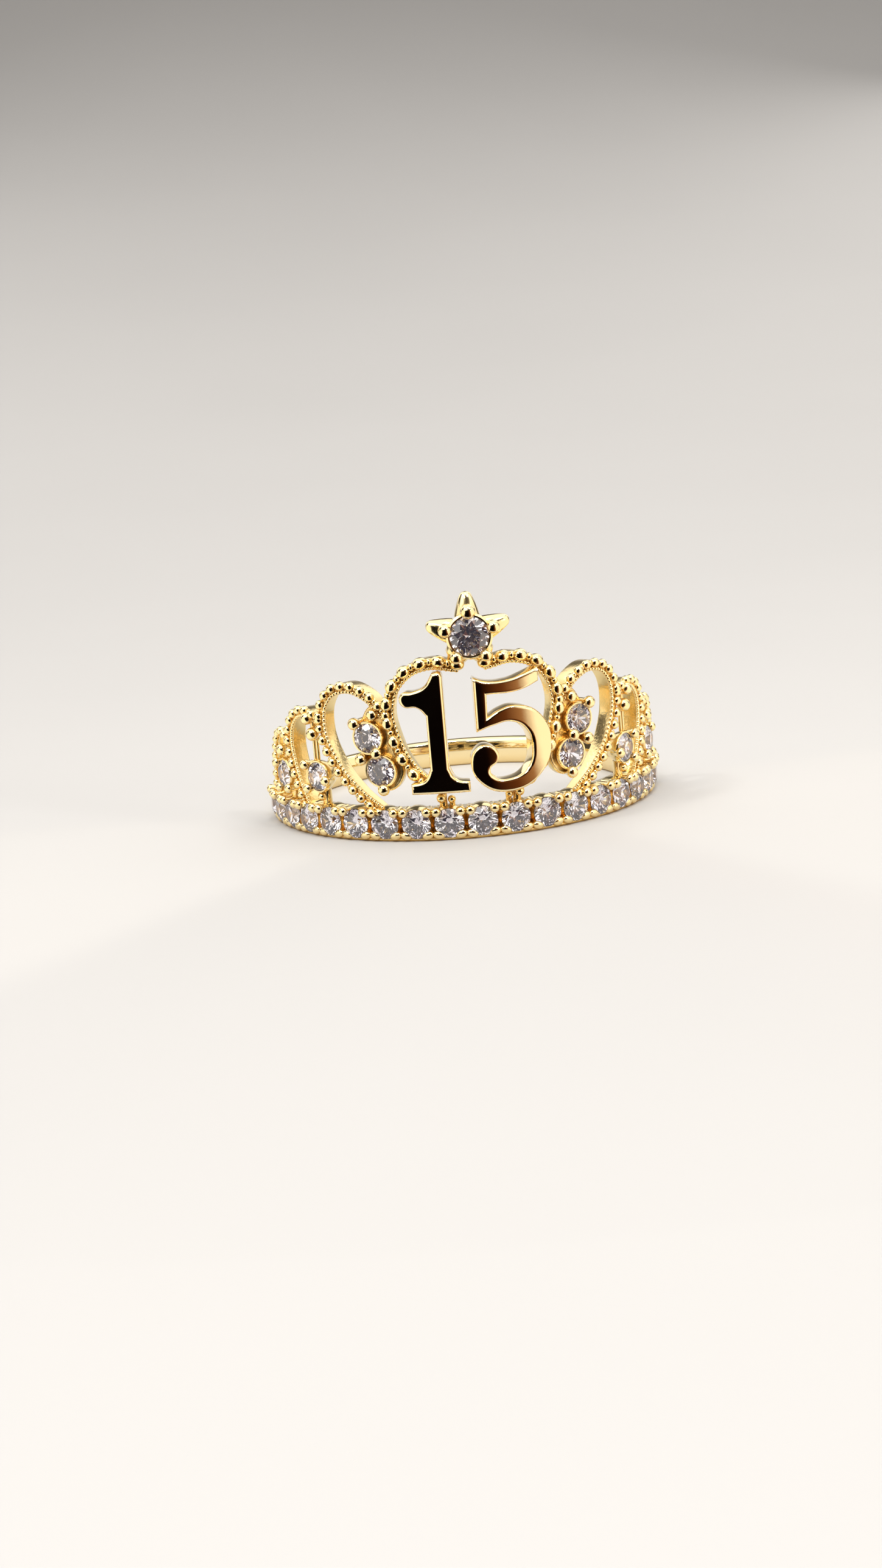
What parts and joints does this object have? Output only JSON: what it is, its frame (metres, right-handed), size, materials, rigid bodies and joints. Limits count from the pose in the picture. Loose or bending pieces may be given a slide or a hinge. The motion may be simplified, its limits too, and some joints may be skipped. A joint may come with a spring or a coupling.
{
  "type": "finger ring",
  "caption": "Tiara-shaped finger ring: a half-eternity rail of round stones carries open beaded scrolls, a star and the age numerals in a central arch.",
  "frame": {"origin": "centre of the finger hole, in the plane of the ring's lower edge", "axes": "+Z along the finger hole, towards the tips of the tiara; -Y towards the front of the tiara; +X to the wearer's side that carries the figure 5"},
  "size_m": [0.0206, 0.0205, 0.0121],
  "materials": {
    "cast_gold": "cast, bead-set and gold plated",
    "polished_gold": "mirror polished gold plate",
    "clear_stone": "brilliant-cut clear cubic zirconia"
  },
  "bodies": {
    "root": {"arch_beading_left": "cast_gold", "arch_beading_right": "cast_gold", "central_arch_left": "cast_gold", "central_arch_right": "cast_gold", "large_beading_left": "cast_gold", "large_beading_right": "cast_gold", "large_scroll_left": "cast_gold", "large_scroll_right": "cast_gold", "leaf_setting_left": "cast_gold", "leaf_setting_right": "cast_gold", "leaf_stone_lower_left": "clear_stone", "leaf_stone_lower_right": "clear_stone", "leaf_stone_upper_left": "clear_stone", "leaf_stone_upper_right": "clear_stone", "middle_beading_left": "cast_gold", "middle_beading_right": "cast_gold", "middle_pendant_left": "cast_gold", "middle_pendant_right": "cast_gold", "middle_scroll_left": "cast_gold", "middle_scroll_right": "cast_gold", "middle_stone_left": "clear_stone", "middle_stone_right": "clear_stone", "numeral_five": "polished_gold", "numeral_one": "polished_gold", "numeral_post_left": "cast_gold", "numeral_post_right": "cast_gold", "rail": "cast_gold", "rail_stone_01": "clear_stone", "rail_stone_02": "clear_stone", "rail_stone_03": "clear_stone", "rail_stone_04": "clear_stone", "rail_stone_05": "clear_stone", "rail_stone_06": "clear_stone", "rail_stone_07": "clear_stone", "rail_stone_08": "clear_stone", "rail_stone_09": "clear_stone", "rail_stone_10": "clear_stone", "rail_stone_11": "clear_stone", "rail_stone_12": "clear_stone", "rail_stone_13": "clear_stone", "rail_stone_14": "clear_stone", "rail_stone_15": "clear_stone", "rail_stone_16": "clear_stone", "rail_stone_17": "clear_stone", "rail_stone_18": "clear_stone", "rail_stone_19": "clear_stone", "shank": "polished_gold", "small_beading_left": "cast_gold", "small_beading_right": "cast_gold", "small_pendant_left": "cast_gold", "small_pendant_right": "cast_gold", "small_scroll_left": "cast_gold", "small_scroll_right": "cast_gold", "small_stone_left": "clear_stone", "small_stone_right": "clear_stone", "star_setting": "cast_gold", "star_stone": "clear_stone"}
  },
  "joints": []
}
